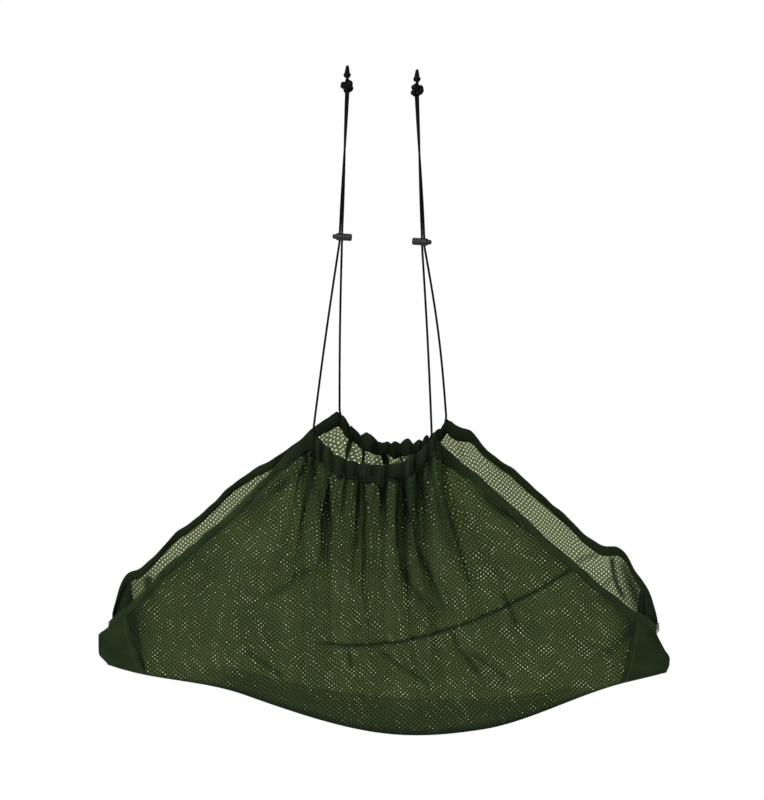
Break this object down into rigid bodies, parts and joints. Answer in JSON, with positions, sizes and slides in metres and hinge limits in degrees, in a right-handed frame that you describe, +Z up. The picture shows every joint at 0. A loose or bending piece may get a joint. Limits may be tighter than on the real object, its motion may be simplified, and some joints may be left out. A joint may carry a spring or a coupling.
{
  "type": "drawcord mesh fish sling",
  "caption": "Hanging mesh bag for weighing or holding a fish: gathered mouth hems on two drawcords, barrel cord locks and knotted hanging ends.",
  "frame": {"origin": "the hang point, midway between the two cord eyes just under the knots", "axes": "+Z up along the hanging cords, +X across the mouth towards the right lock, -Y towards the front panel"},
  "size_m": [0.7984, 0.1447, 0.9249],
  "materials": {
    "mesh_net": "olive green warp-knit polyester mesh with round holes",
    "plain_cloth": "dark green plain woven polyester",
    "thread": "pale sewing thread",
    "cord": "black braided polyester cord",
    "lock_plastic": "dark grey moulded acetal",
    "spring_steel": "plain spring wire"
  },
  "bodies": {
    "sling": {"back_panel": "mesh_net", "back_hem": "plain_cloth", "left_gusset": "plain_cloth", "right_gusset": "plain_cloth", "left_tack": "thread", "right_tack": "thread", "front_cord": "cord", "back_cord": "cord", "left_knot": "cord", "right_knot": "cord", "left_tail": "cord", "right_tail": "cord"},
    "front": {"front_panel": "mesh_net", "front_hem": "plain_cloth"},
    "left_lock": {"left_lock_barrel": "lock_plastic", "left_lock_spring": "spring_steel"},
    "left_plunger": {"left_lock_plunger": "lock_plastic"},
    "right_lock": {"right_lock_barrel": "lock_plastic", "right_lock_spring": "spring_steel"},
    "right_plunger": {"right_lock_plunger": "lock_plastic"}
  },
  "joints": [
    {"name": "mouth_open", "type": "hinge", "parent": "sling", "child": "front", "pos_m": [0, 0, -0.198], "axis": [-1, 0, 0], "range_deg": [-18, 14], "stiffness_Nm_per_rad": 2, "springref_deg": 1.03, "deforming": ["front_panel", "front_hem", "front_cord"]},
    {"name": "left_lock_slide", "type": "slide", "parent": "sling", "child": "left_lock", "axis": [0.0454, 0, 0.999], "range_m": [0, 0.165], "deforming": ["front_cord", "back_cord"]},
    {"name": "left_plunger_press", "type": "slide", "parent": "left_lock", "child": "left_plunger", "axis": [1, 0, 0], "range_m": [0, 0.0035], "stiffness_N_per_m": 600, "springref_m": -0.003, "deforming": ["left_lock_spring"]},
    {"name": "right_lock_slide", "type": "slide", "parent": "sling", "child": "right_lock", "axis": [-0.0454, 0, 0.999], "range_m": [0, 0.165], "deforming": ["front_cord", "back_cord"]},
    {"name": "right_plunger_press", "type": "slide", "parent": "right_lock", "child": "right_plunger", "axis": [-1, 0, 0], "range_m": [0, 0.0035], "stiffness_N_per_m": 600, "springref_m": -0.003, "deforming": ["right_lock_spring"]}
  ]
}
